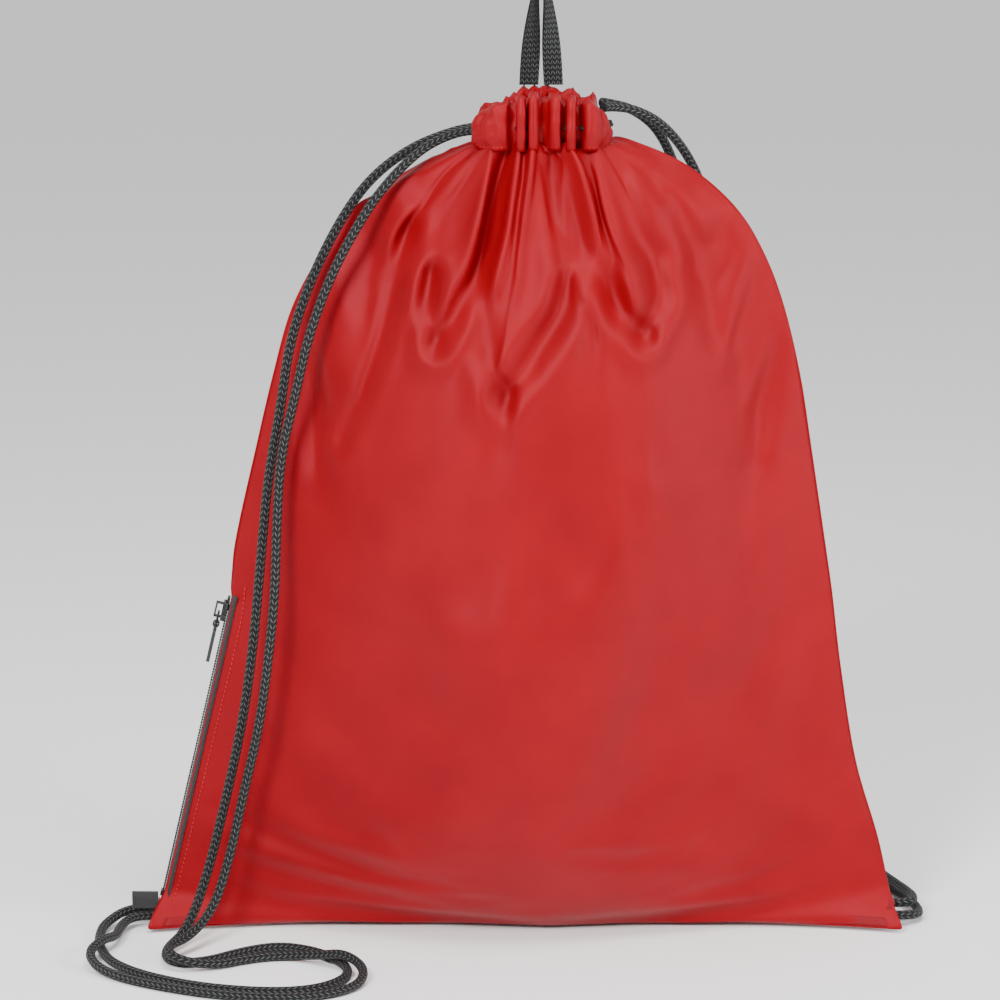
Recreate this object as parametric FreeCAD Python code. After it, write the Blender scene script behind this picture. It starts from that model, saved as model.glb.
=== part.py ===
import FreeCAD, Part
import math
import os

from FreeCAD import Vector

# A filled drawstring backpack standing on its base, in millimetres.
# +Z is up, the front faces -Y, and the origin is the middle of the base on the ground.

# sack: two cloth panels sewn together along both sides and along the bottom
seam_y = -6.0               # plane of the side seams
wall = 1.2                  # cloth with its lining
base_half_width = 197.0
belly_half_width = 158.5
chest_half_width = 144.0
shoulder_half_width = 130.0
collar_half_width = 103.0
throat_half_width = 80.0
neck_half_width = 36.0
base_x = 7.0
belly_front = 75.0          # how far the front panel bulges from the seam plane
belly_rear = 87.0
foot_z = 14.0
belly_z = 184.0
shoulder_z = 335.0
neck_z = 424.0
neck_x = 16.0               # the filled sack leans a little to its left
seam_half = 1.0

# casing: the tunnel around the neck that the drawcords run in
casing_height = 24.0
casing_half_straight = 14.0
casing_radius = 20.0        # middle of the tunnel at its round ends
tunnel_wall = 1.2
tunnel_hem = 3.0
side_slit_half = 12.0       # the tunnel is open at both side seams

# drawcords and shoulder cords
cord_diameter = 5.0
arc_share = 0.45            # of the shorter run beside each bend
cord_room = 0.5             # above and below each cord in the casing
casing_thick = cord_diameter + 2 * tunnel_wall + 0.6
low_cord = tunnel_hem + cord_room + cord_diameter / 2
cord_levels = (low_cord, casing_height - low_cord)

# zip in the left side seam
slot_end = 3.0              # cloth left uncut beyond each end of the slot
tape_thick = 0.7
zip_gap_half = 0.55         # half the gap that the slider's post runs in
coil_half = 2.9
slot_half = coil_half + zip_gap_half + 1.15    # the slider body is a little wider than the coils
tape_half = slot_half + 2.6
lip_half = slot_half + 3.4  # half the flat strip that carries the zip
coil_height = 1.5
coil_chamfer = 0.6
zip_clearance = 0.35
stop_length = 2.5

# slider and its pull
slider_length = 10.0
slider_plate = 1.1
slider_flange = 0.9
post_half = 0.22
post_length = 3.5
bridge_half = 1.2
bridge_rise = 2.85
bridge_thick = 1.0
ring_wire_radius = 0.6
ring_half = 2.7
ring_corner = 0.9
ring_length = 6.5
ring_drop = 1.5             # ring axis below the slider middle
eye_radius = 1.9
eye_hole_radius = 0.95
eye_half = 1.6
tab_length = 21.0
tab_half = 3.5
tab_thick = 1.8

# trims
label_reach = 14.0
label_height = 9.5
label_thick = 0.8
label_z = 11.0
binding_thick = 1.8
binding_depth = 6.0
tack_thick = 1.0
tack_half = 6.5
tack_low = 3.0
tack_high = 13.5

# hang loop: one length of webbing, both ends sewn into the rear casing
loop_webbing = 10.0
loop_thick = 1.2
loop_leg_spread = 6.7       # middle of each leg from the middle of the loop
loop_leg_height = 45.0
loop_gap = 1.2              # hinge line above the casing
loop_x = 14.5
loop_steps = 6

# stations up the sack: height, middle, half width, front depth, rear depth, half of the side strip
stations = [
    (0.0, base_x, base_half_width, 12.0, 50.0, lip_half),
    (foot_z, base_x, base_half_width, 45.0, 72.0, lip_half),
    (belly_z, 8.5, belly_half_width, belly_front, belly_rear, lip_half),
    (210.0, 9.4, 155.0, belly_front, belly_rear, seam_half),
    (267.0, 11.6, chest_half_width, belly_front - 1.0, belly_rear - 2.0, seam_half),
    (shoulder_z, 12.6, shoulder_half_width, belly_front - 7.0, belly_rear - 10.0, seam_half),
    (385.0, 15.0, collar_half_width, 52.0, 56.0, seam_half),
    (408.0, neck_x, throat_half_width, 38.0, 40.0, seam_half),
    (neck_z, neck_x, neck_half_width, 20.0, 20.0, seam_half),
]

# shoulder cords: each leaves the casing, hangs down the sack and ends in a lower corner
strap_routes = {
    "left_strap_cord_outer": [
        (-14.0, 6.0, 430.0), (-18.2, 0.4, 430.0), (-31.0, -1.0, 428.0), (-53.0, -5.0, 420.0),
        (-74.0, -12.0, 405.0), (-90.0, -18.0, 383.0), (-105.0, -21.0, 353.0),
        (-116.0, -23.0, 321.0), (-121.0, -26.0, 286.0), (-128.0, -27.0, 249.0),
        (-132.0, -34.0, 204.0), (-136.0, -37.0, 162.0), (-142.0, -36.0, 121.0),
        (-152.0, -33.0, 76.0), (-162.0, -32.0, 36.0), (-172.0, -44.0, 9.0),
        (-184.0, -63.0, 3.0), (-178.0, -80.0, 2.5), (-161.0, -79.0, 2.5),
        (-142.0, -61.0, 2.5), (-124.0, -52.0, 2.5), (-106.0, -59.0, 2.5),
        (-92.0, -74.0, 2.5), (-85.0, -91.0, 2.5), (-87.0, -107.0, 2.5),
        (-98.0, -121.0, 2.5), (-115.0, -127.0, 2.5), (-135.0, -126.0, 2.5),
        (-158.0, -120.0, 2.5), (-179.0, -109.0, 2.5), (-197.0, -95.0, 2.5),
        (-210.0, -78.0, 2.5), (-217.0, -58.0, 2.5), (-220.0, -37.0, 2.5),
        (-219.0, -19.0, 4.0), (-206.0, -2.5, 8.5), (-191.0, -2.5, 8.5),
    ],
    "left_strap_cord_inner": [
        (-14.0, -18.0, 430.0), (-18.2, -12.4, 430.0), (-31.0, -11.0, 428.0),
        (-48.0, -13.0, 420.0), (-66.0, -23.0, 403.0), (-80.0, -28.0, 383.0),
        (-94.0, -31.0, 357.0), (-106.0, -34.0, 325.0), (-113.0, -33.0, 294.0),
        (-121.0, -32.0, 262.0), (-123.0, -36.0, 228.0), (-124.0, -45.0, 190.0),
        (-128.0, -46.0, 154.0), (-133.0, -43.0, 120.0), (-142.0, -38.0, 82.0),
        (-150.0, -37.0, 46.0), (-158.0, -43.0, 21.0), (-169.0, -58.0, 10.0),
        (-182.0, -73.0, 8.8), (-175.0, -89.0, 7.0), (-156.0, -86.0, 3.0),
        (-136.0, -72.0, 2.5), (-117.0, -68.0, 2.6), (-101.0, -75.0, 5.0),
        (-88.0, -84.0, 9.0), (-77.0, -97.0, 6.0), (-78.0, -114.0, 2.7),
        (-90.0, -129.0, 2.5), (-109.0, -136.0, 2.5), (-131.0, -136.0, 2.5),
        (-155.0, -130.0, 2.5), (-179.0, -119.0, 2.5), (-200.0, -106.0, 2.5),
        (-216.0, -91.0, 3.5), (-222.0, -76.0, 7.0), (-216.0, -61.0, 9.0),
        (-210.0, -46.0, 6.0), (-210.0, -30.0, 4.5), (-207.0, -16.0, 5.5),
        (-200.0, -10.0, 6.0), (-191.0, -10.0, 6.0),
    ],
    "right_strap_cord_outer": [
        (46.0, -18.0, 442.0), (50.2, -12.4, 442.0), (63.0, -8.0, 440.0), (78.0, 1.0, 431.0),
        (92.0, 12.0, 413.0), (102.0, 23.0, 389.0), (107.0, 36.0, 360.0), (111.0, 47.0, 328.0),
        (113.0, 53.0, 291.0), (117.0, 57.0, 250.0), (116.0, 62.0, 205.0), (121.0, 60.0, 162.0),
        (123.0, 58.0, 119.0), (130.0, 56.0, 77.0), (131.0, 60.0, 38.0), (124.0, 74.0, 12.0),
        (107.0, 91.0, 3.0), (84.0, 101.0, 2.5), (60.0, 103.0, 2.5), (39.0, 112.0, 2.5),
        (33.0, 130.0, 2.5), (46.0, 145.0, 2.5), (69.0, 148.0, 2.5), (95.0, 143.0, 2.5),
        (122.0, 133.0, 2.5), (148.0, 119.0, 2.5), (172.0, 101.0, 2.5), (193.0, 79.0, 2.5),
        (208.0, 56.0, 2.5), (217.0, 33.0, 2.5), (220.0, 11.0, 3.0), (219.0, -2.0, 4.5),
        (213.0, -9.5, 6.0), (205.0, -9.5, 6.0),
    ],
    "right_strap_cord_inner": [
        (46.0, 6.0, 442.0), (50.2, 0.4, 442.0), (62.0, 2.0, 439.0), (75.0, 12.0, 428.0),
        (84.0, 23.0, 410.0), (91.0, 34.0, 386.0), (96.0, 46.0, 356.0), (99.0, 55.0, 323.0),
        (104.0, 60.0, 288.0), (105.0, 65.0, 247.0), (108.0, 67.0, 204.0), (109.0, 68.0, 163.0),
        (115.0, 65.0, 121.0), (118.0, 62.0, 81.0), (121.0, 66.0, 46.0), (113.0, 78.0, 20.0),
        (96.0, 81.0, 6.0), (75.0, 85.0, 2.5), (50.0, 92.0, 2.5), (28.0, 103.0, 2.5),
        (17.0, 121.0, 2.5), (24.0, 141.0, 2.5), (43.0, 155.0, 2.5), (70.0, 158.0, 2.5),
        (98.0, 152.0, 2.5), (127.0, 141.0, 2.5), (155.0, 125.0, 2.5), (180.0, 104.0, 3.5),
        (196.0, 81.0, 7.0), (203.0, 58.0, 9.5), (210.0, 37.0, 9.5), (216.0, 18.0, 10.0),
        (217.0, 5.0, 10.6), (213.0, -2.5, 10.8), (205.0, -2.5, 10.8),
    ],
}

foot = stations[1]
belly = stations[2]
zip_low = Vector(foot[1] - foot[2], seam_y, foot_z)
zip_high = Vector(belly[1] - belly[2], seam_y, belly_z)
zip_length = zip_low.distanceToPoint(zip_high)
zip_tilt = math.atan2(zip_high.x - zip_low.x, zip_high.z - zip_low.z)
slider_z = zip_length - slot_end - stop_length - zip_clearance - slider_length / 2


def section(z, middle, half_width, front, rear, side_half):
    """Closed outline of the sack at one height: a flat left strip and two arcs."""
    left = middle - half_width
    left_front = Vector(left, seam_y - side_half, z)
    left_rear = Vector(left, seam_y + side_half, z)
    right = Vector(middle + half_width, seam_y, z)
    strip = Part.LineSegment(left_rear, left_front)
    front_arc = Part.Arc(left_front, Vector(middle, seam_y - front, z), right)
    rear_arc = Part.Arc(right, Vector(middle, seam_y + rear, z), left_rear)
    return Part.Wire([strip.toShape(), front_arc.toShape(), rear_arc.toShape()])


def sack_solid(inset):
    """The sack's outside when inset is 0, or its inside when inset is the wall."""
    wires = []
    for z, middle, half_width, front, rear, side_half in stations:
        side = inset / math.cos(zip_tilt)
        wires.append(section(max(z, inset), middle, half_width - side, front - inset, rear - inset,
                             side_half - inset / 2))
    return Part.makeLoft(wires, True, True)


def box(x0, x1, y0, y1, z0, z1):
    return Part.makeBox(x1 - x0, y1 - y0, z1 - z0, Vector(x0, y0, z0))


def half_space(side, offset=0.0):
    """Everything in front of (side -1) or behind (side 1) the seam plane, past an offset."""
    reach = 400.0
    if side < 0:
        return box(-reach, reach, seam_y - reach, seam_y - offset, -reach, 2 * reach)
    return box(-reach, reach, seam_y + offset, seam_y + reach, -reach, 2 * reach)


def on_zip(shape):
    """Places a shape made in the zip's own frame: x into the sack, z up along the zip."""
    placed = shape.copy()
    turn = FreeCAD.Rotation(Vector(0, 1, 0), math.degrees(zip_tilt))
    placed.Placement = FreeCAD.Placement(zip_low, turn)
    return placed


def stadium(radius, z, height):
    """A solid slab with straight sides and round ends, around the neck's middle."""
    left = neck_x - casing_half_straight
    right = neck_x + casing_half_straight
    slab = box(left, right, seam_y - radius, seam_y + radius, z, z + height)
    for x in (left, right):
        slab = slab.fuse(Part.makeCylinder(radius, height, Vector(x, seam_y, z)))
    return slab.removeSplitter()


def make_panels():
    shell = sack_solid(0.0).cut(sack_solid(wall))
    slot = box(-3 * wall, 3 * wall, -slot_half, slot_half, slot_end, zip_length - slot_end)
    shell = shell.cut(on_zip(slot))
    return {"front_panel": shell.common(half_space(-1)), "rear_panel": shell.common(half_space(1))}


def make_bindings():
    """Tapes that bind the raw edges inside the right, upper left and bottom seams."""
    half = binding_thick / 2

    def strip(side, low, high):
        wires = []
        for z, middle, half_width, front, rear, side_half in stations:
            if low <= z <= high:
                edge = middle + side * (half_width - wall / 2)
                inner = edge - side * binding_depth
                corners = [Vector(edge, seam_y - half, z), Vector(edge, seam_y + half, z),
                           Vector(inner, seam_y + half, z), Vector(inner, seam_y - half, z)]
                wires.append(Part.makePolygon(corners + corners[:1]))
        return Part.makeLoft(wires, True, True)

    inside = sack_solid(wall)
    bottom = box(zip_low.x + 2 * binding_depth, -zip_low.x, seam_y - half, seam_y + half,
                 wall, wall + binding_depth)
    return {
        "right_seam_binding": strip(1, foot_z, 408.0).common(inside),
        "left_seam_binding": strip(-1, 210.0, 408.0).common(inside),
        "bottom_seam_binding": bottom,
    }


def make_casings():
    outer = stadium(casing_radius + casing_thick / 2, neck_z, casing_height)
    hole = stadium(casing_radius - casing_thick / 2, neck_z, casing_height)
    half_tunnel = casing_thick / 2 - tunnel_wall
    tunnel_z = neck_z + tunnel_hem
    tunnel_height = casing_height - 2 * tunnel_hem
    tunnel = stadium(casing_radius + half_tunnel, tunnel_z, tunnel_height)
    tunnel = tunnel.cut(stadium(casing_radius - half_tunnel, tunnel_z, tunnel_height))
    ring = outer.cut(hole).cut(tunnel)
    return {
        "front_casing": ring.common(half_space(-1, side_slit_half)),
        "rear_casing": ring.common(half_space(1, side_slit_half)),
    }


def cord_in_casing(side, level):
    """One cord round the casing, with both ends at the slit on its own side."""
    z = neck_z + level
    slit_x = casing_half_straight + math.sqrt(casing_radius ** 2 - side_slit_half ** 2)
    mid_angle = (math.asin(side_slit_half / casing_radius) + math.pi / 2) / 2

    def point(along, across):
        return Vector(neck_x + side * along, seam_y + across, z)

    def bend(across):
        reach = casing_half_straight + casing_radius * math.cos(mid_angle)
        return point(reach, across * casing_radius * math.sin(mid_angle))

    front_end = point(slit_x, -side_slit_half)
    front_near = point(casing_half_straight, -casing_radius)
    front_far = point(-casing_half_straight, -casing_radius)
    turn = point(-casing_half_straight - casing_radius, 0.0)
    rear_far = point(-casing_half_straight, casing_radius)
    rear_near = point(casing_half_straight, casing_radius)
    rear_end = point(slit_x, side_slit_half)
    path = [
        Part.Arc(front_end, bend(-1), front_near),
        Part.LineSegment(front_near, front_far),
        Part.Arc(front_far, turn, rear_far),
        Part.LineSegment(rear_far, rear_near),
        Part.Arc(rear_near, bend(1), rear_end),
    ]
    return tube(Part.Wire([piece.toShape() for piece in path]), cord_diameter / 2)


def tube(path, radius):
    start = path.OrderedEdges[0]
    first = start.valueAt(start.FirstParameter)
    heading = start.tangentAt(start.FirstParameter)
    profile = Part.Wire([Part.makeCircle(radius, first, heading)])
    return path.makePipeShell([profile], True, False, 2)


def make_zip():
    """Tapes, coils and end stops, set behind the slot in the left seam."""
    parts = {}
    back = wall + tape_thick
    for side, name in ((-1, "front"), (1, "rear")):
        near = side * zip_gap_half
        far = side * tape_half
        tape = box(wall, back, min(near, far), max(near, far), 1.0, zip_length - 1.0)
        parts["zip_tape_" + name] = on_zip(tape)
        edge = side * coil_half
        top = wall - coil_height
        corners = [
            Vector(wall, edge, 0), Vector(top + coil_chamfer, edge, 0),
            Vector(top, edge - side * coil_chamfer, 0), Vector(top, near + side * coil_chamfer, 0),
            Vector(top + coil_chamfer, near, 0), Vector(wall, near, 0),
        ]
        low = slot_end + stop_length
        rod = Part.Face(Part.makePolygon(corners + corners[:1]))
        rod.translate(Vector(0, 0, low))
        run = zip_length - slot_end - stop_length - low
        parts["zip_coil_" + name] = on_zip(rod.extrude(Vector(0, 0, run)))
    stop_top = wall - coil_height
    low_stop = box(stop_top, wall, -coil_half, coil_half, slot_end, slot_end + stop_length)
    high = zip_length - slot_end
    high_stop = box(stop_top, wall, -coil_half, coil_half, high - stop_length, high)
    parts["zip_bottom_stop"] = on_zip(low_stop)
    parts["zip_top_stop"] = on_zip(high_stop)
    return parts


outer_face = wall - coil_height - zip_clearance - slider_plate
ring_axis_x = outer_face - bridge_rise / 2
ring_axis_z = slider_z - ring_drop
tab_axis_z = ring_axis_z - ring_length


def make_slider():
    half = slider_length / 2
    low = slider_z - half
    high = slider_z + half
    inner_face = outer_face + slider_plate
    flange_in = coil_half + zip_clearance
    flange_out = flange_in + slider_flange
    back = wall + tape_thick + zip_clearance
    body = box(outer_face, inner_face, -flange_out, flange_out, low, high)
    for side in (-1, 1):
        near = min(side * flange_in, side * flange_out)
        flange = box(inner_face, wall - zip_clearance, near, near + slider_flange, low, high)
        body = body.fuse(flange)
    body = body.fuse(box(back, back + slider_plate, -flange_in, flange_in, low, high))
    post_low = high - post_length - 1.0
    body = body.fuse(box(inner_face, back, -post_half, post_half, post_low, post_low + post_length))
    top = outer_face - bridge_rise
    bridge = box(top - bridge_thick, outer_face, -bridge_half, bridge_half, low + 0.8, high - 0.8)
    window = box(top, outer_face, -bridge_half, bridge_half, low + 1.8, high - 1.8)
    body = body.fuse(bridge.cut(window)).removeSplitter()
    return {"zip_slider": on_zip(body)}


def make_pull():
    """A wire ring through the slider's bridge, and a flat tab with an eye on the ring."""
    edges = []
    last = Vector(ring_axis_x, -ring_half + ring_corner, ring_axis_z)
    turns = ((1, ring_axis_z, 0), (1, tab_axis_z, 1), (-1, tab_axis_z, 2), (-1, ring_axis_z, 3))
    for side, z, quarter in turns:
        corner = Vector(ring_axis_x, side * ring_half, z)
        back = Vector(0, -math.cos(quarter * math.pi / 2), math.sin(quarter * math.pi / 2))
        ahead = Vector(0, -back.z, back.y)
        start = corner + back * ring_corner
        end = corner + ahead * ring_corner
        middle = corner + (back + ahead) * ring_corner * (1 - math.sqrt(0.5))
        edges.append(Part.LineSegment(last, start).toShape())
        edges.append(Part.Arc(start, middle, end).toShape())
        last = end
    ring = tube(Part.Wire(edges), ring_wire_radius)

    across = Vector(0, 1, 0)
    eye_start = Vector(ring_axis_x, -eye_half, tab_axis_z)
    eye = Part.makeCylinder(eye_radius, 2 * eye_half, eye_start, across)
    half_thick = tab_thick / 2
    front = ring_axis_x - half_thick
    rear = ring_axis_x + half_thick
    shoulder = tab_axis_z - eye_radius - 1.0
    neck = box(front, rear, -eye_half, eye_half, shoulder - 0.5, tab_axis_z)
    plate = box(front, rear, -tab_half, tab_half, tab_axis_z - tab_length, shoulder)
    rounding = []
    for edge in plate.Edges:
        if edge.Length < tab_thick + 0.01:
            rounding.append(edge)
    plate = plate.makeFillet(tab_half / 2, rounding)
    hole = Part.makeCylinder(eye_hole_radius, 2 * eye_half, eye_start, across)
    tab = eye.fuse(neck).fuse(plate).cut(hole).removeSplitter()
    return {"pull_ring": on_zip(ring), "pull_tab": on_zip(tab)}


def make_hang_loop():
    """An upright loop whose legs face forward at the foot and sideways at the crown."""
    hinge_z = neck_z + casing_height + loop_gap
    leg_y = seam_y + casing_radius
    half = loop_webbing / 2
    thick = loop_thick / 2

    def leg(side):
        wires = []
        for step in range(loop_steps + 1):
            share = step / loop_steps
            turn = share * math.pi / 2
            z = hinge_z + share * loop_leg_height
            x = loop_x + side * loop_leg_spread
            corners = []
            for a, b in ((-half, -thick), (half, -thick), (half, thick), (-half, thick)):
                corners.append(Vector(x + a * math.cos(turn) - b * math.sin(turn),
                                      leg_y + a * math.sin(turn) + b * math.cos(turn), z))
            wires.append(Part.makePolygon(corners + corners[:1]))
        return Part.makeLoft(wires, True, True)

    crown_z = hinge_z + loop_leg_height
    start = Vector(loop_x, leg_y - half, crown_z)
    across = Vector(0, 1, 0)
    crown = Part.makeCylinder(loop_leg_spread + thick, loop_webbing, start, across)
    crown = crown.cut(Part.makeCylinder(loop_leg_spread - thick, loop_webbing, start, across))
    reach = 2 * loop_leg_spread
    crown = crown.common(box(loop_x - reach, loop_x + reach, leg_y - half, leg_y + half,
                             crown_z, crown_z + reach))
    return {"hang_loop": leg(-1).fuse(crown).fuse(leg(1)).removeSplitter()}


def make_trims():
    """The folded side label and the stitched blocks that hold the cord ends."""
    left = base_x - base_half_width
    right = base_x + base_half_width
    front_lip = seam_y - lip_half
    label = box(left - label_reach, left, front_lip, front_lip + label_thick,
                label_z, label_z + label_height)
    low = seam_y - tack_half
    high = seam_y + tack_half
    return {
        "side_label": label,
        "left_corner_tack": box(left - tack_thick, left, low, high, tack_low, tack_high),
        "right_corner_tack": box(right, right + tack_thick, low, high, tack_low, tack_high),
    }


def strap_cord(name, points):
    """A free cord: straight runs joined by arcs as large as the runs beside them allow."""
    points = [Vector(*point) for point in points]
    edges = []
    radii = []
    last = points[0]
    for before, corner, after in zip(points, points[1:], points[2:]):
        back = (before - corner).normalize()
        ahead = (after - corner).normalize()
        half_turn = (math.pi - back.getAngle(ahead)) / 2
        shorter = min(corner.distanceToPoint(before), corner.distanceToPoint(after))
        reach = arc_share * shorter
        radius = reach / math.tan(half_turn)
        middle = (back + ahead).normalize() * (radius / math.cos(half_turn) - radius)
        start = corner + back * reach
        end = corner + ahead * reach
        edges.append(Part.LineSegment(last, start).toShape())
        edges.append(Part.Arc(start, corner + middle, end).toShape())
        radii.append(radius)
        last = end
    edges.append(Part.LineSegment(last, points[-1]).toShape())
    path = Part.Wire(edges)
    cord = tube(path, cord_diameter / 2)
    section_area = math.pi * cord_diameter ** 2 / 4
    print(name, "length", round(path.Length), "volume share",
          round(cord.Volume / (section_area * path.Length), 4))
    print("  radii", [round(radius) for radius in radii])
    return cord


nodes = {}
nodes.update(make_panels())
nodes.update(make_bindings())
nodes.update(make_casings())
nodes["left_drawcord"] = cord_in_casing(-1, cord_levels[0])
nodes["right_drawcord"] = cord_in_casing(1, cord_levels[1])
nodes.update(make_zip())
nodes.update(make_slider())
nodes.update(make_pull())
nodes.update(make_hang_loop())
nodes.update(make_trims())
for name, points in strap_routes.items():
    nodes[name] = strap_cord(name, points)

os.makedirs("parts", exist_ok=True)
for name, shape in nodes.items():
    shape.exportStep("parts/" + name + ".step")
    limits = shape.BoundBox
    print(name, len(shape.Solids), shape.isValid(), round(shape.Volume),
          [round(v, 1) for v in (limits.XMin, limits.XMax, limits.YMin, limits.YMax,
                                 limits.ZMin, limits.ZMax)])
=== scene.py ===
import bpy
import bmesh
import math
from mathutils import Vector, Matrix, noise
from mathutils.kdtree import KDTree


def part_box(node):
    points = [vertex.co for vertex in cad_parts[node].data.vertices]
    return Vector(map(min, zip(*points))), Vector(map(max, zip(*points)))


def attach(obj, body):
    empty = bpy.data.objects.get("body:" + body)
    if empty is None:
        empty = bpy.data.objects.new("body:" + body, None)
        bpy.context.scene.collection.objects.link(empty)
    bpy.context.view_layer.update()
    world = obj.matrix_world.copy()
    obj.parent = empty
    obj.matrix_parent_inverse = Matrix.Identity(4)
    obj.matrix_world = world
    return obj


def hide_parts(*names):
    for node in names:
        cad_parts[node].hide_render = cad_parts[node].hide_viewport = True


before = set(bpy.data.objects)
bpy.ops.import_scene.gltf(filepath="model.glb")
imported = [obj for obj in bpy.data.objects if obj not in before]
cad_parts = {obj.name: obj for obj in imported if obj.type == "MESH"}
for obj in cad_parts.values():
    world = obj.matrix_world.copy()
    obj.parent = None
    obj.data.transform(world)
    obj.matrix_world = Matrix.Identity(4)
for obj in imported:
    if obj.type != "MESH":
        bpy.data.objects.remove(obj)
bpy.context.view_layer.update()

# places taken from the frame
frontLow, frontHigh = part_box("front_panel")
casingLow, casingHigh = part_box("front_casing")
seamY = frontHigh.y
leftX = frontLow.x          # foot of the left seam
rightX = frontHigh.x
neckX = (casingLow.x + casingHigh.x) / 2
neckZ = casingLow.z
crownZ = casingHigh.z


def smooth(low, high, value):
    t = min(1.0, max(0.0, (value - low) / (high - low)))
    return t * t * (3 - 2 * t)


def mix(a, b, t):
    return a + (b - a) * t


def curveThrough(points, value):
    # points are (position, value) pairs in order, joined by a smooth curve
    if value <= points[0][0]:
        return points[0][1]
    if value >= points[-1][0]:
        return points[-1][1]
    for i in range(len(points) - 1):
        if value <= points[i + 1][0]:
            break
    x0, y0 = points[i]
    x1, y1 = points[i + 1]
    before = points[max(i - 1, 0)]
    after = points[min(i + 2, len(points) - 1)]
    slopeIn = (y1 - before[1]) / (x1 - before[0])
    slopeOut = (after[1] - y0) / (after[0] - x0)
    span = x1 - x0
    t = (value - x0) / span
    a = 2 * t ** 3 - 3 * t ** 2 + 1
    b = t ** 3 - 2 * t ** 2 + t
    c = -2 * t ** 3 + 3 * t ** 2
    d = t ** 3 - t ** 2
    return a * y0 + b * span * slopeIn + c * y1 + d * span * slopeOut


# camera and light
camera = {
    "target": (-0.0069, -0.006, 0.2333),
    "elevation": 12.0,
    "distance": 2.2,
    "lens": 150.3,
}


def makeCamera():
    data = bpy.data.cameras.new("camera")
    data.lens = camera["lens"]
    data.sensor_width = 36.0
    data.clip_start = 0.05
    data.clip_end = 30.0
    obj = bpy.data.objects.new("camera", data)
    bpy.context.collection.objects.link(obj)
    tilt = math.radians(camera["elevation"])
    aim = Vector(camera["target"])
    obj.location = aim + camera["distance"] * Vector((0, -math.cos(tilt), math.sin(tilt)))
    obj.rotation_euler = (math.pi / 2 - tilt, 0, 0)
    bpy.context.scene.camera = obj


studio = {
    "key": {"at": (-0.65, -1.5, 1.25), "size": 0.50, "power": 40.0},
    "fill": {"at": (1.35, -0.75, 0.75), "size": 0.45, "power": 15.0},
    "top": {"at": (0.25, -0.45, 1.7), "size": 0.45, "power": 16.0},
    "sky": 0.85,
}


def makeLights():
    for name in ("key", "fill", "top"):
        values = studio[name]
        data = bpy.data.lights.new(name, "AREA")
        data.size = values["size"]
        data.energy = values["power"]
        obj = bpy.data.objects.new(name, data)
        bpy.context.collection.objects.link(obj)
        obj.location = values["at"]
        aim = Vector((0.0, 0.0, 0.22)) - Vector(values["at"])
        obj.rotation_euler = aim.to_track_quat("-Z", "Y").to_euler()
    world = bpy.data.worlds.new("studio")
    world.use_nodes = True
    world.node_tree.nodes["Background"].inputs["Color"].default_value = (1, 1, 1, 1)
    world.node_tree.nodes["Background"].inputs["Strength"].default_value = studio["sky"]
    bpy.context.scene.world = world


def makeFloor():
    mesh = bpy.data.meshes.new("floor")
    bm = bmesh.new()
    bmesh.ops.create_grid(bm, x_segments=1, y_segments=1, size=4.0)
    bm.to_mesh(mesh)
    bm.free()
    obj = bpy.data.objects.new("floor", mesh)
    bpy.context.collection.objects.link(obj)
    material = bpy.data.materials.new("paleFloor")
    material.use_nodes = True
    shader = material.node_tree.nodes["Principled BSDF"]
    shader.inputs["Base Color"].default_value = (0.95, 0.95, 0.95, 1)
    shader.inputs["Roughness"].default_value = 0.7
    mesh.materials.append(material)


def meshFrom(bm, name):
    for face in bm.faces:
        face.smooth = True
    mesh = bpy.data.meshes.new(name)
    bm.to_mesh(mesh)
    bm.free()
    return mesh


def addPiece(name, mesh, body, *materials):
    obj = bpy.data.objects.new(name, mesh)
    bpy.context.collection.objects.link(obj)
    for material in materials:
        mesh.materials.append(material)
    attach(obj, body)
    return obj


# shoulder cords
strap = {
    "diameter": 0.005,
    "length": 0.89,         # of each strand, from the casing to the corner
    "step": 0.0016,         # between the rings of a cord's tube
    "around": 3,
}

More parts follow.
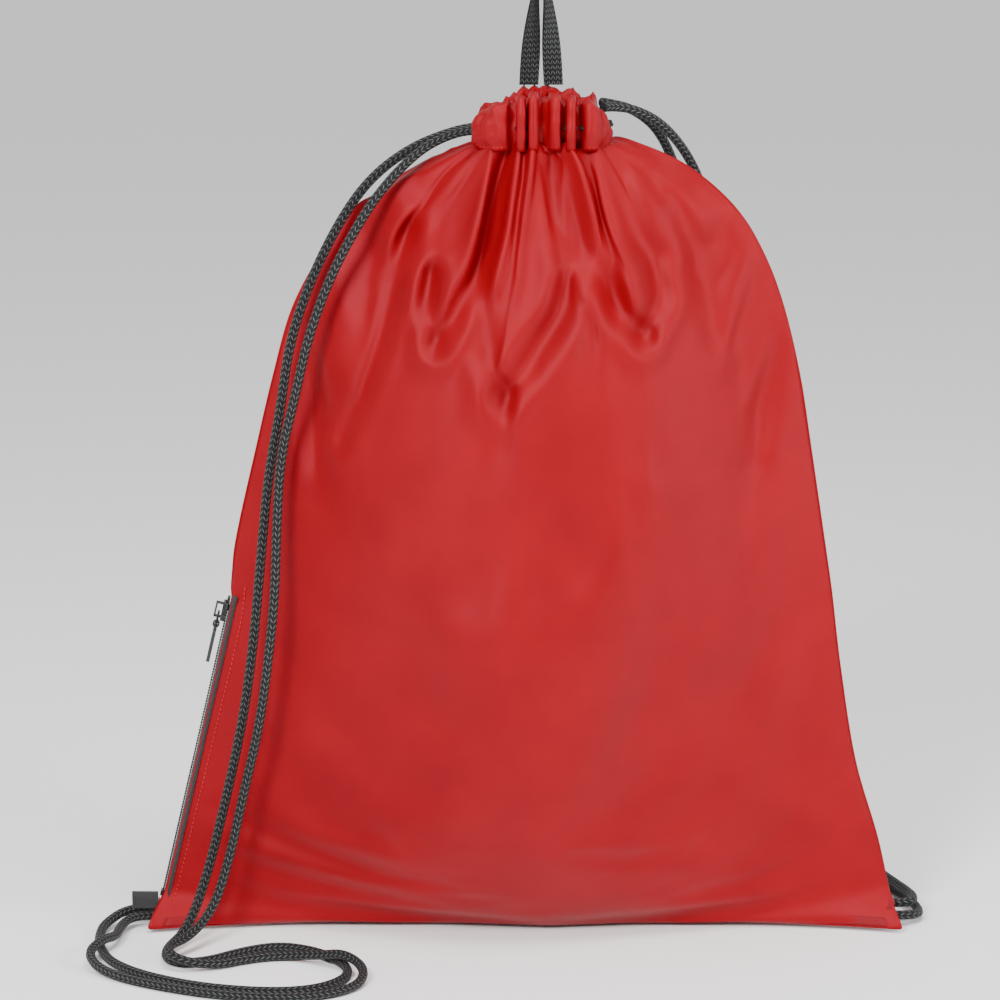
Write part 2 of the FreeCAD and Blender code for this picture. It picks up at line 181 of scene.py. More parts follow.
# through the casing, down the cloth, over the floor and back to the corner
strapRoutes = {
    "left_strap_cord_outer": [
        (-0.014, 0.006, 0.43), (-0.0182, 0.0004, 0.43),
        (-0.031, -0.001, 0.428), (-0.053, -0.005, 0.42),
        (-0.074, -0.012, 0.405), (-0.09, -0.018, 0.383),
        (-0.105, -0.021, 0.353), (-0.116, -0.023, 0.321),
        (-0.121, -0.026, 0.286), (-0.128, -0.027, 0.249),
        (-0.132, -0.034, 0.204), (-0.136, -0.037, 0.162),
        (-0.142, -0.036, 0.121), (-0.152, -0.033, 0.076),
        (-0.162, -0.032, 0.036), (-0.172, -0.044, 0.009),
        (-0.184, -0.063, 0.003), (-0.178, -0.08, 0.0025),
        (-0.161, -0.079, 0.0025), (-0.142, -0.061, 0.0025),
        (-0.124, -0.052, 0.0025), (-0.106, -0.059, 0.0025),
        (-0.092, -0.074, 0.0025), (-0.085, -0.091, 0.0025),
        (-0.087, -0.107, 0.0025), (-0.098, -0.121, 0.0025),
        (-0.115, -0.127, 0.0025), (-0.135, -0.126, 0.0025),
        (-0.158, -0.12, 0.0025), (-0.179, -0.109, 0.0025),
        (-0.197, -0.095, 0.0025), (-0.21, -0.078, 0.0025),
        (-0.217, -0.058, 0.0025), (-0.22, -0.037, 0.0025),
        (-0.219, -0.019, 0.004), (-0.206, -0.0025, 0.0085),
        (-0.191, -0.0025, 0.0085),
    ],
    "left_strap_cord_inner": [
        (-0.014, -0.018, 0.43), (-0.0182, -0.0124, 0.43),
        (-0.031, -0.011, 0.428), (-0.048, -0.013, 0.42),
        (-0.066, -0.023, 0.403), (-0.08, -0.028, 0.383),
        (-0.094, -0.031, 0.357), (-0.106, -0.034, 0.325),
        (-0.113, -0.033, 0.294), (-0.121, -0.032, 0.262),
        (-0.123, -0.036, 0.228), (-0.124, -0.045, 0.19),
        (-0.128, -0.046, 0.154), (-0.133, -0.043, 0.12),
        (-0.142, -0.038, 0.082), (-0.15, -0.037, 0.046),
        (-0.158, -0.043, 0.021), (-0.169, -0.058, 0.01),
        (-0.182, -0.073, 0.0088), (-0.175, -0.089, 0.007),
        (-0.156, -0.086, 0.003), (-0.136, -0.072, 0.0025),
        (-0.117, -0.068, 0.0026), (-0.101, -0.075, 0.005),
        (-0.088, -0.084, 0.009), (-0.077, -0.097, 0.006),
        (-0.078, -0.114, 0.0027), (-0.09, -0.129, 0.0025),
        (-0.109, -0.136, 0.0025), (-0.131, -0.136, 0.0025),
        (-0.155, -0.13, 0.0025), (-0.179, -0.119, 0.0025),
        (-0.2, -0.106, 0.0025), (-0.216, -0.091, 0.0035),
        (-0.222, -0.076, 0.007), (-0.216, -0.061, 0.009),
        (-0.21, -0.046, 0.006), (-0.21, -0.03, 0.0045),
        (-0.207, -0.016, 0.0055), (-0.2, -0.01, 0.006),
        (-0.191, -0.01, 0.006),
    ],
    "right_strap_cord_outer": [
        (0.046, -0.018, 0.442), (0.0502, -0.0124, 0.442),
        (0.063, -0.008, 0.44), (0.078, 0.001, 0.431),
        (0.092, 0.012, 0.413), (0.102, 0.023, 0.389), (0.107, 0.036, 0.36), (0.111, 0.047, 0.328),
        (0.113, 0.053, 0.291), (0.117, 0.057, 0.25), (0.116, 0.062, 0.205), (0.121, 0.06, 0.162),
        (0.123, 0.058, 0.119), (0.13, 0.056, 0.077), (0.131, 0.06, 0.038), (0.124, 0.074, 0.012),
        (0.107, 0.091, 0.003), (0.084, 0.101, 0.0025),
        (0.06, 0.103, 0.0025), (0.039, 0.112, 0.0025),
        (0.033, 0.13, 0.0025), (0.046, 0.145, 0.0025),
        (0.069, 0.148, 0.0025), (0.095, 0.143, 0.0025),
        (0.122, 0.133, 0.0025), (0.148, 0.119, 0.0025),
        (0.172, 0.101, 0.0025), (0.193, 0.079, 0.0025),
        (0.208, 0.056, 0.0025), (0.217, 0.033, 0.0025),
        (0.22, 0.011, 0.003), (0.219, -0.002, 0.0045),
        (0.213, -0.0095, 0.006), (0.205, -0.0095, 0.006),
    ],
    "right_strap_cord_inner": [
        (0.046, 0.006, 0.442), (0.0502, 0.0004, 0.442),
        (0.062, 0.002, 0.439), (0.075, 0.012, 0.428),
        (0.084, 0.023, 0.41), (0.091, 0.034, 0.386), (0.096, 0.046, 0.356), (0.099, 0.055, 0.323),
        (0.104, 0.06, 0.288), (0.105, 0.065, 0.247), (0.108, 0.067, 0.204), (0.109, 0.068, 0.163),
        (0.115, 0.065, 0.121), (0.118, 0.062, 0.081), (0.121, 0.066, 0.046), (0.113, 0.078, 0.02),
        (0.096, 0.081, 0.006), (0.075, 0.085, 0.0025),
        (0.05, 0.092, 0.0025), (0.028, 0.103, 0.0025),
        (0.017, 0.121, 0.0025), (0.024, 0.141, 0.0025),
        (0.043, 0.155, 0.0025), (0.07, 0.158, 0.0025),
        (0.098, 0.152, 0.0025), (0.127, 0.141, 0.0025),
        (0.155, 0.125, 0.0025), (0.18, 0.104, 0.0035),
        (0.196, 0.081, 0.007), (0.203, 0.058, 0.0095), (0.21, 0.037, 0.0095), (0.216, 0.018, 0.01),
        (0.217, 0.005, 0.0106), (0.213, -0.0025, 0.0108), (0.205, -0.0025, 0.0108),
    ],
}


def splinePoints(route):
    # the smooth line that a cord lies on, as evenly spaced points
    data = bpy.data.curves.new("line", "CURVE")
    data.dimensions = "3D"
    data.resolution_u = 24
    spline = data.splines.new("NURBS")
    spline.points.add(len(route) - 1)
    for point, place in zip(spline.points, route):
        point.co = (*place, 1)
    spline.order_u = 3
    spline.use_endpoint_u = True
    obj = bpy.data.objects.new("line", data)
    bpy.context.collection.objects.link(obj)
    dg = bpy.context.evaluated_depsgraph_get()
    mesh = bpy.data.meshes.new_from_object(obj.evaluated_get(dg))
    line = [v.co.copy() for v in mesh.vertices]
    bpy.data.meshes.remove(mesh)
    bpy.data.objects.remove(obj)
    bpy.data.curves.remove(data)
    return evenly(line, strap["step"])


def evenly(line, step):
    lengths = [0.0]
    for a, b in zip(line, line[1:]):
        lengths.append(lengths[-1] + (b - a).length)
    count = max(2, round(lengths[-1] / step))
    spaced = []
    i = 0
    for n in range(count + 1):
        at = lengths[-1] * n / count
        while i < len(line) - 2 and lengths[i + 1] < at:
            i += 1
        share = (at - lengths[i]) / max(lengths[i + 1] - lengths[i], 1e-9)
        spaced.append(line[i].lerp(line[i + 1], min(share, 1.0)))
    return spaced


def lineLength(line):
    return sum((b - a).length for a, b in zip(line, line[1:]))


def tubeMesh(name, line, radius, around):
    # an even tube along the line, with u along it in metres and v round it
    data = bpy.data.curves.new(name, "CURVE")
    data.dimensions = "3D"
    data.bevel_depth = radius
    data.bevel_resolution = around
    data.use_fill_caps = True
    data.twist_mode = "MINIMUM"
    spline = data.splines.new("POLY")
    spline.points.add(len(line) - 1)
    for point, place in zip(spline.points, line):
        point.co = (*place, 1)
    obj = bpy.data.objects.new(name, data)
    bpy.context.collection.objects.link(obj)
    dg = bpy.context.evaluated_depsgraph_get()
    mesh = bpy.data.meshes.new_from_object(obj.evaluated_get(dg))
    bpy.data.objects.remove(obj)
    bpy.data.curves.remove(data)
    mesh.name = name
    for polygon in mesh.polygons:
        polygon.use_smooth = True
    if mesh.uv_layers:
        length = lineLength(line)
        for item in mesh.uv_layers[0].data:
            item.uv = (item.uv[0] * length, item.uv[1])
    return mesh


makeCamera()
makeLights()
makeFloor()
print("camera, lights and floor made")


# shared shading
def newGroup(name, inputs, outputs):
    group = bpy.data.node_groups.new(name, "ShaderNodeTree")
    for label, kind, value in inputs:
        socket = group.interface.new_socket(label, in_out="INPUT", socket_type=kind)
        if value is not None:
            socket.default_value = value
    for label, kind in outputs:
        group.interface.new_socket(label, in_out="OUTPUT", socket_type=kind)
    source = group.nodes.new("NodeGroupInput")
    sink = group.nodes.new("NodeGroupOutput")
    return group, source, sink


def calc(tree, operation, a, b=None, c=None):
    node = tree.nodes.new("ShaderNodeMath")
    node.operation = operation
    for slot, value in enumerate((a, b, c)):
        if value is None:
            continue
        if isinstance(value, (int, float)):
            node.inputs[slot].default_value = value
        else:
            tree.links.new(value, node.inputs[slot])
    return node.outputs[0]


def rangeOf(tree, value, low, high, toLow, toHigh):
    node = tree.nodes.new("ShaderNodeMapRange")
    for label, item in (("Value", value), ("From Min", low), ("From Max", high),
                        ("To Min", toLow), ("To Max", toHigh)):
        if isinstance(item, (int, float)):
            node.inputs[label].default_value = item
        else:
            tree.links.new(item, node.inputs[label])
    return node.outputs[0]


def blendColours(tree, factor, a, b):
    node = tree.nodes.new("ShaderNodeMix")
    node.data_type = "RGBA"
    for label, item in ((0, factor), (6, a), (7, b)):
        if isinstance(item, (tuple, float, int)):
            node.inputs[label].default_value = item
        else:
            tree.links.new(item, node.inputs[label])
    return node.outputs[2]


def makeWeaveGroup():
    # warp and weft threads crossing over and under, with slubs and soft mottling
    group, source, sink = newGroup(
        "plainWeave",
        [("Place", "NodeSocketVector", None), ("Threads", "NodeSocketFloat", 1600.0),
         ("Mottle", "NodeSocketFloat", 30.0), ("Unevenness", "NodeSocketFloat", 0.05)],
        [("Height", "NodeSocketFloat"), ("Over", "NodeSocketFloat"),
         ("Mottling", "NodeSocketFloat")])
    t = group
    split = t.nodes.new("ShaderNodeSeparateXYZ")
    t.links.new(source.outputs["Place"], split.inputs[0])
    slub = t.nodes.new("ShaderNodeTexNoise")
    slub.inputs["Scale"].default_value = 220.0
    slub.inputs["Detail"].default_value = 2.0
    t.links.new(source.outputs["Place"], slub.inputs["Vector"])
    drift = calc(t, "MULTIPLY", calc(t, "SUBTRACT", slub.outputs[0], 0.5),
                 source.outputs["Unevenness"])
    warp = calc(t, "ADD", calc(t, "MULTIPLY", split.outputs[0], source.outputs["Threads"]), drift)
    weft = calc(t, "ADD", calc(t, "MULTIPLY", split.outputs[1], source.outputs["Threads"]), drift)
    warpRound = calc(t, "ABSOLUTE", calc(t, "SINE", calc(t, "MULTIPLY", warp, math.pi)))
    weftRound = calc(t, "ABSOLUTE", calc(t, "SINE", calc(t, "MULTIPLY", weft, math.pi)))
    odd = calc(t, "MODULO", calc(t, "ADD", calc(t, "FLOOR", warp), calc(t, "FLOOR", weft)), 2.0)
    over = calc(t, "ABSOLUTE", odd)
    height = calc(t, "ADD", calc(t, "MULTIPLY", warpRound, over),
                  calc(t, "MULTIPLY", weftRound, calc(t, "SUBTRACT", 1.0, over)))
    mottle = t.nodes.new("ShaderNodeTexNoise")
    mottle.inputs["Detail"].default_value = 4.0
    t.links.new(source.outputs["Place"], mottle.inputs["Vector"])
    t.links.new(source.outputs["Mottle"], mottle.inputs["Scale"])
    t.links.new(height, sink.inputs["Height"])
    t.links.new(over, sink.inputs["Over"])
    t.links.new(mottle.outputs[0], sink.inputs["Mottling"])
    return group


def makeBraidGroup():
    # rows of V stitches along a cord or webbing, read from a UV map in metres and turns
    group, source, sink = newGroup(
        "braidRows",
        [("Place", "NodeSocketVector", None), ("Pitch", "NodeSocketFloat", 0.0032),
         ("Rows", "NodeSocketFloat", 4.0), ("Fleck Share", "NodeSocketFloat", 0.28),
         ("Lean", "NodeSocketFloat", 0.9)],
        [("Fleck", "NodeSocketFloat"), ("Height", "NodeSocketFloat")])
    t = group
    split = t.nodes.new("ShaderNodeSeparateXYZ")
    t.links.new(source.outputs["Place"], split.inputs[0])
    across = calc(t, "FRACT", calc(t, "MULTIPLY", split.outputs[1], source.outputs["Rows"]))
    side = calc(t, "MULTIPLY", calc(t, "ABSOLUTE", calc(t, "SUBTRACT", across, 0.5)), 2.0)
    along = calc(t, "DIVIDE", split.outputs[0], source.outputs["Pitch"])
    lean = calc(t, "ADD", along, calc(t, "MULTIPLY", side, source.outputs["Lean"]))
    phase = calc(t, "FRACT", lean)
    inRow = calc(t, "LESS_THAN", phase, source.outputs["Fleck Share"])
    clear = calc(t, "MULTIPLY", calc(t, "GREATER_THAN", side, 0.18),
                 calc(t, "LESS_THAN", side, 0.82))
    fleck = calc(t, "MULTIPLY", inRow, clear)
    strand = calc(t, "ABSOLUTE", calc(t, "SINE", calc(t, "MULTIPLY", lean, 2 * math.pi)))
    crown = calc(t, "SINE", calc(t, "MULTIPLY", side, math.pi))
    height = calc(t, "MULTIPLY", strand, calc(t, "ADD", calc(t, "MULTIPLY", crown, 0.6), 0.4))
    t.links.new(fleck, sink.inputs["Fleck"])
    t.links.new(height, sink.inputs["Height"])
    return group


weaveGroup = makeWeaveGroup()
braidGroup = makeBraidGroup()


def newMaterial(name):
    material = bpy.data.materials.new(name)
    material.use_nodes = True
    tree = material.node_tree
    return material, tree, tree.nodes["Principled BSDF"]


def placeFrom(tree, uvName):
    if uvName:
        node = tree.nodes.new("ShaderNodeUVMap")
        node.uv_map = uvName
        return node.outputs[0]
    return tree.nodes.new("ShaderNodeTexCoord").outputs["Object"]


def bumpInto(tree, shader, height, strength, distance):
    bump = tree.nodes.new("ShaderNodeBump")
    bump.inputs["Strength"].default_value = strength
    bump.inputs["Distance"].default_value = distance
    tree.links.new(height, bump.inputs["Height"])
    tree.links.new(bump.outputs[0], shader.inputs["Normal"])


satin = {
    "deep": (0.170, 0.0, 0.0025, 1),
    "bright": (0.265, 0.0, 0.0045, 1),
    "roughness": (0.36, 0.45),
    "threads": 1900.0,
    "sheen": 0.02,
    "specular": 0.40,
    "bump": 0.22,
}


def clothMaterial(name, values, uvName):
    material, tree, shader = newMaterial(name)
    weave = tree.nodes.new("ShaderNodeGroup")
    weave.node_tree = weaveGroup
    tree.links.new(placeFrom(tree, uvName), weave.inputs["Place"])
    weave.inputs["Threads"].default_value = values["threads"]
    weave.inputs["Mottle"].default_value = values.get("mottle", 26.0)
    tone = rangeOf(tree, weave.outputs["Mottling"], 0.3, 0.7, 0.35, 0.75)
    crossing = calc(tree, "MULTIPLY", calc(tree, "SUBTRACT", weave.outputs["Over"], 0.5), 0.07)
    tone = calc(tree, "ADD", tone, crossing)
    tree.links.new(blendColours(tree, tone, values["deep"], values["bright"]),
                   shader.inputs["Base Color"])
    low, high = values["roughness"]
    tree.links.new(rangeOf(tree, weave.outputs["Mottling"], 0.3, 0.7, low, high),
                   shader.inputs["Roughness"])
    bumpInto(tree, shader, weave.outputs["Height"], values["bump"], 0.0003)
    shader.inputs["Sheen Weight"].default_value = values["sheen"]
    shader.inputs["Sheen Roughness"].default_value = 0.4
    shader.inputs["Sheen Tint"].default_value = values.get("sheenTint", (1, 0.10, 0.14, 1))
    shader.inputs["Specular IOR Level"].default_value = values.get("specular", 0.7)
    shader.inputs["Specular Tint"].default_value = values.get("shine", (1, 0.30, 0.36, 1))
    return material


braid = {
    "thread": (0.004, 0.004, 0.0045, 1),
    "fleck": (0.085, 0.09, 0.09, 1),
    "roughness": 0.62,
    "bump": 0.9,
}


def braidMaterial(name, pitch, rows, share, lean):
    material, tree, shader = newMaterial(name)
    group = tree.nodes.new("ShaderNodeGroup")
    group.node_tree = braidGroup
    tree.links.new(placeFrom(tree, "UVMap"), group.inputs["Place"])
    group.inputs["Pitch"].default_value = pitch
    group.inputs["Rows"].default_value = rows
    group.inputs["Fleck Share"].default_value = share
    group.inputs["Lean"].default_value = lean
    tree.links.new(blendColours(tree, group.outputs["Fleck"], braid["thread"], braid["fleck"]),
                   shader.inputs["Base Color"])
    shader.inputs["Roughness"].default_value = braid["roughness"]
    shader.inputs["Sheen Weight"].default_value = 0.02
    shader.inputs["Specular IOR Level"].default_value = 0.25
    bumpInto(tree, shader, group.outputs["Height"], braid["bump"], 0.0005)
    return material


def hardMaterial(name, dark, light, low, high, metal, scale):
    # enamel or moulded plastic: fine grain, rubbed lighter in places
    material, tree, shader = newMaterial(name)
    place = placeFrom(tree, None)
    grain = tree.nodes.new("ShaderNodeTexNoise")
    grain.inputs["Scale"].default_value = scale
    grain.inputs["Detail"].default_value = 5.0
    tree.links.new(place, grain.inputs["Vector"])
    rubbed = rangeOf(tree, grain.outputs[0], 0.45, 0.8, 0.0, 1.0)
    tree.links.new(blendColours(tree, rubbed, dark, light), shader.inputs["Base Color"])
    tree.links.new(rangeOf(tree, grain.outputs[0], 0.3, 0.7, low, high), shader.inputs["Roughness"])
    bumpInto(tree, shader, grain.outputs[0], 0.15, 0.0002)
    shader.inputs["Metallic"].default_value = metal
    return material


redSatin = clothMaterial("redSatin", satin, "clothPlace")
redTape = clothMaterial("redSeamTape", {
    "deep": (0.13, 0.001, 0.003, 1), "bright": (0.22, 0.002, 0.006, 1), "roughness": (0.6, 0.75),
    "threads": 1200.0, "sheen": 0.2, "bump": 0.4}, None)
redThread = clothMaterial("redThread", {
    "deep": (0.30, 0.001, 0.004, 1), "bright": (0.55, 0.006, 0.014, 1), "roughness": (0.45, 0.6),
    "threads": 2600.0, "sheen": 0.2, "bump": 0.4}, None)
blackTape = clothMaterial("blackZipTape", {
    "deep": (0.006, 0.006, 0.007, 1), "bright": (0.02, 0.02, 0.022, 1), "roughness": (0.65, 0.8),
    "threads": 1500.0, "sheen": 0.2, "bump": 0.5, "sheenTint": (1, 1, 1, 1),
    "shine": (1, 1, 1, 1), "specular": 0.4}, None)
blackLabel = clothMaterial("blackLabelWeave", {
    "deep": (0.008, 0.008, 0.009, 1), "bright": (0.025, 0.025, 0.027, 1), "roughness": (0.5, 0.65),
    "threads": 2200.0, "sheen": 0.25, "bump": 0.4, "sheenTint": (1, 1, 1, 1),
    "shine": (1, 1, 1, 1), "specular": 0.4}, None)
cordBraid = braidMaterial("cordBraid", 0.0032, 4.0, 0.30, 0.9)
loopWebbing = braidMaterial("loopWebbing", 0.0026, 4.0, 0.32, 0.9)
coilPlastic = hardMaterial("coilPlastic", (0.008, 0.008, 0.009, 1), (0.03, 0.03, 0.032, 1),
                           0.25, 0.4, 0.0, 900.0)
blackEnamel = hardMaterial("blackEnamel", (0.012, 0.012, 0.013, 1), (0.09, 0.09, 0.09, 1),
                           0.28, 0.5, 0.6, 500.0)
tabRubber = hardMaterial("tabRubber", (0.010, 0.010, 0.011, 1), (0.03, 0.03, 0.03, 1),
                         0.5, 0.7, 0.0, 1500.0)
print("materials made")

# the shoulder cords lie first
cordLines = {}
for name, route in strapRoutes.items():
    cordLines[name] = splinePoints(route)
    mesh = tubeMesh(name, cordLines[name], strap["diameter"] / 2, strap["around"])
    piece = addPiece(name + "_braid", mesh, "bag", cordBraid)
    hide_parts(name)
    print(name, round(lineLength(cordLines[name]), 3), "m")

# the gathered neck
neck = {
    "half": 0.014,          # half of the straight part of the drawn ring
    "round": 0.020,
    "pleats": 9,
    "outwards": 0.0004,
    "depth": 0.0043,
    "layer": 0.0031,        # from the drawcord to each layer of the casing
    "slit": 0.013,          # calm cloth each side of the cord slits
}
neckMiddle = Vector((neckX, seamY, 0))


def ringPath(s, side):
    # place and outward direction on half of the drawn ring, s from the left slit to the right one
    quarter = neck["round"] * math.pi / 2
    total = 2 * quarter + 2 * neck["half"]
    at = s * total
    if at < quarter:
        turn = math.pi + at / neck["round"]
        centre = -neck["half"]
    elif at < quarter + 2 * neck["half"]:
        centre = -neck["half"] + at - quarter
        turn = 1.5 * math.pi
    else:
        turn = 1.5 * math.pi + (at - quarter - 2 * neck["half"]) / neck["round"]
        centre = neck["half"]
    out = Vector((math.cos(turn), math.sin(turn), 0))
    spot = Vector((centre, 0, 0)) + out * neck["round"]
    if side > 0:
        out.y = -out.y
        spot.y = -spot.y
    return neckMiddle + spot, out, total


def pleatWave(u, side):
    # one irregular gather after another, from -1 in a furrow to 1 on a crest:
    # close and shallow in the middle, wide and deep towards the sides
    seed = 11.3 if side < 0 else 47.9
    wander = 0.034 * math.sin(4 * math.pi * u) + 0.032 * math.sin(2 * math.pi * 3.3 * u + seed)
    turn = 2 * math.pi * neck["pleats"] * (u + wander)
    size = 0.95 - 0.15 * math.cos(4 * math.pi * u)
    size = size * (1 + 0.9 * noise.noise(Vector((8 * u, seed, 0))))
    return math.cos(turn) * size, math.sin(2 * turn) * size


def ringSpot(u, side, height, spread, gather):
    spot, out, total = ringPath(u, side)
    calm = smooth(0.0, neck["slit"], u * total) * smooth(0.0, neck["slit"], (1 - u) * total)
    wave, lean = pleatWave(u, side)
    along = Vector((-out.y, out.x, 0))
    offset = spread + gather * calm * wave
    place = spot + out * offset + along * (0.0011 * lean * calm)
    place.z = height
    return place


# the sack
sack = {
    "columns": 100,
    "rows": 112,
    "length": 0.478,                # from the neck down to the bottom seam, along a side seam
    "meanWidth": 0.365,
    "widths": [(0.0, 0.396), (0.39, 0.376), (0.71, 0.352), (1.0, 0.336)],
    "zipGape": 0.0046,              # each panel edge to the seam plane, at the zip
    "zipInset": 0.0024,             # and how far inside the zip it stops
    "ear": 0.018,                   # how far the bottom corners reach forward
    "frames": 26,
    "pressure": 2.0,
    "cap": 0.017,
    "wall": 0.0005,
    "calm": (14, 0.5, 0.16, 0.56),  # rounds and share of smoothing on the belly, and where
}

# along a side seam: share of the length, height, inset from the base width at left and right
seamRows = [
    (0.000, 0.0022, -0.006, -0.005), (0.023, 0.0140, -0.001, 0.000), (0.100, 0.0480, 0.008, 0.008),
    (0.200, 0.0920, 0.0185, 0.021), (0.300, 0.1450, 0.031, 0.030), (0.388, 0.1840, 0.040, 0.035),
    (0.4435, 0.2100, 0.043, 0.039), (0.566, 0.2670, 0.0560, 0.048), (0.640, 0.3000, 0.0640, 0.0535),
    (0.7115, 0.335, 0.074, 0.062), (0.770, 0.362, 0.088, 0.072), (0.833, 0.388, 0.106, 0.087),
    (0.880, 0.408, 0.124, 0.105), (0.920, 0.419, 0.142, 0.123), (0.955, 0.427, 0.156, 0.138),
    (1.000, 0.4240, 0.1720, 0.1530),
]

# down the middle of each panel: share, height, distance in front of or behind the seams
frontRows = [
    (0.000, 0.0022, 0.001), (0.030, 0.0130, 0.014), (0.060, 0.0250, 0.025), (0.120, 0.0500, 0.039),
    (0.200, 0.0840, 0.053), (0.310, 0.1300, 0.066), (0.420, 0.1840, 0.075), (0.540, 0.2400, 0.078),
    (0.660, 0.3000, 0.074), (0.735, 0.3350, 0.068), (0.845, 0.3850, 0.052), (0.905, 0.4080, 0.038),
    (0.960, 0.4250, 0.028), (1.000, 0.4250, 0.022),
]
rearRows = [
    (0.000, 0.0022, -0.001), (0.030, 0.0014, 0.018), (0.080, 0.0016, 0.044), (0.125, 0.0090, 0.068),
    (0.170, 0.0260, 0.079), (0.250, 0.0640, 0.085), (0.380, 0.1300, 0.087), (0.480, 0.1840, 0.087),
    (0.590, 0.2400, 0.086), (0.710, 0.3000, 0.083), (0.775, 0.3350, 0.076), (0.880, 0.3850, 0.054),
    (0.930, 0.4080, 0.039), (0.965, 0.4210, 0.028), (1.000, 0.4250, 0.020),
]

# main folds of the front: valley lines from the neck, as x from the neck's middle and height
valleys = [
    {"line": [(-0.018, 0.424), (-0.028, 0.398), (-0.036, 0.364), (-0.035, 0.335), (-0.027, 0.306)],
     "depth": 0.0075, "width": 0.0056, "fade": 0.75},
    {"line": [(0.004, 0.424), (0.006, 0.404), (0.016, 0.370), (0.010, 0.347), (-0.008, 0.322),
              (-0.024, 0.302)], "depth": 0.0085, "width": 0.0060, "fade": 0.55},
    {"line": [(-0.024, 0.308), (-0.027, 0.285), (-0.030, 0.262)],
     "depth": 0.0030, "width": 0.0065, "fade": 0.9},
    {"line": [(0.006, 0.420), (0.014, 0.400), (0.028, 0.374), (0.044, 0.348), (0.057, 0.335)],
     "depth": 0.0080, "width": 0.0055},
    {"line": [(0.026, 0.428), (0.046, 0.402), (0.064, 0.374), (0.067, 0.354), (0.057, 0.335)],
     "depth": 0.0075, "width": 0.0055},
    {"line": [(-0.024, 0.420), (-0.030, 0.398), (-0.038, 0.372), (-0.052, 0.344), (-0.062, 0.330)],
     "depth": 0.0070, "width": 0.0050},
    {"line": [(-0.066, 0.368), (-0.067, 0.350), (-0.062, 0.330)], "depth": 0.0050, "width": 0.0045},
    {"line": [(-0.076, 0.384), (-0.086, 0.352), (-0.093, 0.326), (-0.102, 0.300), (-0.112, 0.274)],
     "depth": 0.0042, "width": 0.0040},
    {"line": [(-0.030, 0.420), (-0.052, 0.396), (-0.076, 0.379)], "depth": 0.0050, "width": 0.0060},
    {"line": [(0.036, 0.424), (0.062, 0.404), (0.086, 0.372), (0.096, 0.330)],
     "depth": 0.0040, "width": 0.0075},
    {"line": [(0.147, 0.186), (0.120, 0.160), (0.100, 0.138)], "depth": 0.0035, "width": 0.0100},
]


def nearLine(x, z, line):
    # distance to a line of points, and how far along it the nearest place is
    best = (1.0, 0.0)
    for i in range(len(line) - 1):
        ax, az = line[i]
        bx, bz = line[i + 1]
        dx, dz = bx - ax, bz - az
        t = ((x - ax) * dx + (z - az) * dz) / (dx * dx + dz * dz)
        t = min(1.0, max(0.0, t))
        gap = math.hypot(x - ax - dx * t, z - az - dz * t)
        if gap < best[0]:
            best = (gap, (i + t) / (len(line) - 1))
    return best


def foldDepth(x, z):
    total = 0.0
    for valley in valleys:
        gap, along = nearLine(x - neckX, z, valley["line"])
        reach = gap / valley["width"]
        if reach > 5:
            continue
        strength = 1.2 * valley["depth"] * (1 - valley.get("fade", 0.5) * along)
        total -= strength * math.exp(-reach * reach)
        total += 0.42 * strength * math.exp(-((reach - 2.0) / 1.0) ** 2)
    return total


def sackSpot(u, v, side):
    rows = frontRows if side < 0 else rearRows
    edgeZ = curveThrough([(r[0], r[1]) for r in seamRows], v)
    left = leftX + curveThrough([(r[0], r[2]) for r in seamRows], v)
    right = rightX - curveThrough([(r[0], r[3]) for r in seamRows], v)
    midZ = curveThrough([(r[0], r[1]) for r in rows], v)
    midY = curveThrough([(r[0], r[2]) for r in rows], v)
    across = abs(2 * u - 1)
    swell = (1 - across ** 2.3) ** 0.9 if across < 1 else 0.0
    rise = (1 - across ** 4) if across < 1 else 0.0
    besideZip = smooth(0.016, 0.034, v) * (1 - smooth(0.375, 0.395, v))
    gape = sack["zipGape"] * besideZip * max(0.0, 1 - 30 * u)
    place = Vector((mix(left, right, u), 0, mix(edgeZ, midZ, rise)))
    place.y = seamY + side * (midY * swell + gape)
    place.x += sack["zipInset"] / sack["zipGape"] * gape
    place.y -= sack["ear"] * (1 - smooth(0.0, 0.040, v)) * across ** 3
    if side < 0:
        inside = min(1.0, 12 * u, 12 * (1 - u))
        place.y -= foldDepth(place.x, place.z) * inside * (1 - smooth(0.90, 0.985, v))
    gathered = smooth(0.80, 1.0, v)
    wave, lean = pleatWave(u, side)
    fan = smooth(0.60, 1.0, v) ** 1.6
    place.y += side * 0.0060 * fan * wave * (1 - gathered) * min(1.0, 9 * u, 9 * (1 - u))
    if gathered > 0:
        ring = ringSpot(u, side, neckZ + 0.0015, neck["outwards"], neck["depth"])
        place = place.lerp(ring, gathered ** 1.5)
    return place


def flatSpot(u, v, side):
    # where the same place was before the cloth was sewn and gathered
    width = curveThrough(sack["widths"], v)
    apart = 0.0004 * side * min(1.0, 20 * u, 20 * (1 - u))
    return Vector(((u - 0.5) * width, apart, v * sack["length"]))


